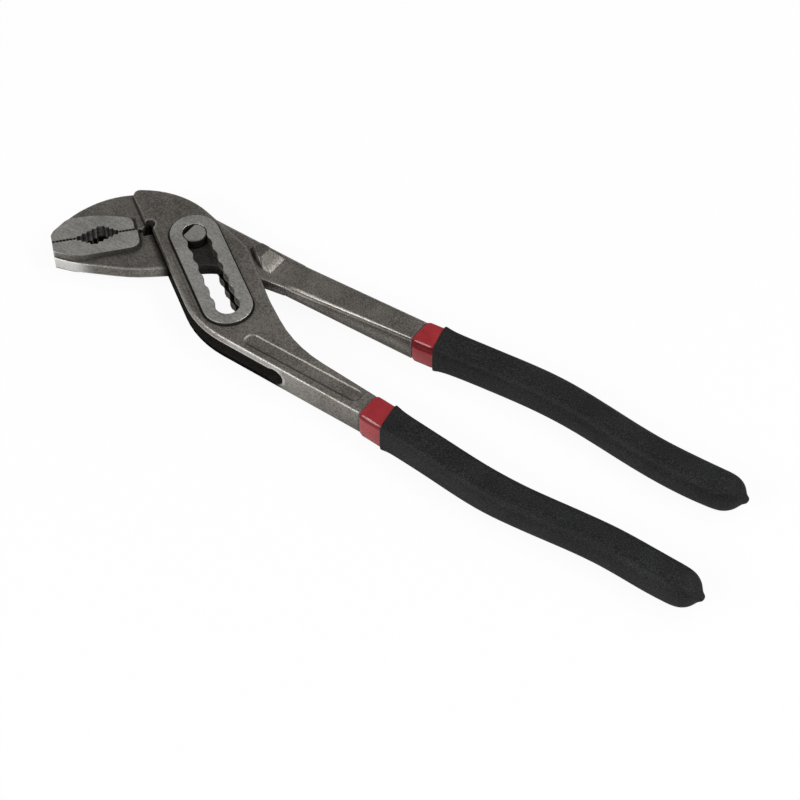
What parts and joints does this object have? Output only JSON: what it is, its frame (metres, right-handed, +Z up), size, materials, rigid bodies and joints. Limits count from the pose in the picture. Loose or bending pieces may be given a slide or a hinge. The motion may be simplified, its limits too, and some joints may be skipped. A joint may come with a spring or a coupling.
{
  "type": "water pump pliers",
  "caption": "Box-joint water pump pliers: two forged levers with toothed jaws, a pivot pin that resets along a scalloped slot, and dipped handle grips.",
  "frame": {"origin": "on the surface the tool lies on, under the pivot axis at the tightest setting", "axes": "+X along the handles away from the jaws, +Y towards the through lever's handle, +Z up through the pivot axis"},
  "size_m": [0.3017, 0.0656, 0.014],
  "materials": {
    "forged_steel": "dark satin forging skin with ground lands",
    "pin_steel": "ground satin",
    "red_undercoat": "gloss",
    "black_grip": "matt, fine dip texture"
  },
  "bodies": {
    "slotted_half": {"slotted_lever": "forged_steel", "slotted_undercoat": "red_undercoat", "slotted_grip": "black_grip"},
    "pin": {"pivot_pin": "pin_steel"},
    "through_half": {"through_lever": "forged_steel", "through_undercoat": "red_undercoat", "through_grip": "black_grip"}
  },
  "joints": [
    {"name": "setting_slide", "type": "slide", "parent": "slotted_half", "child": "pin", "axis": [0.829, -0.5592, 0], "range_m": [0, 0.0414]},
    {"name": "lever_hinge", "type": "hinge", "parent": "pin", "child": "through_half", "pos_m": [0, 0, 0.007], "axis": [0, 0, 1], "range_deg": [0, 55]}
  ]
}
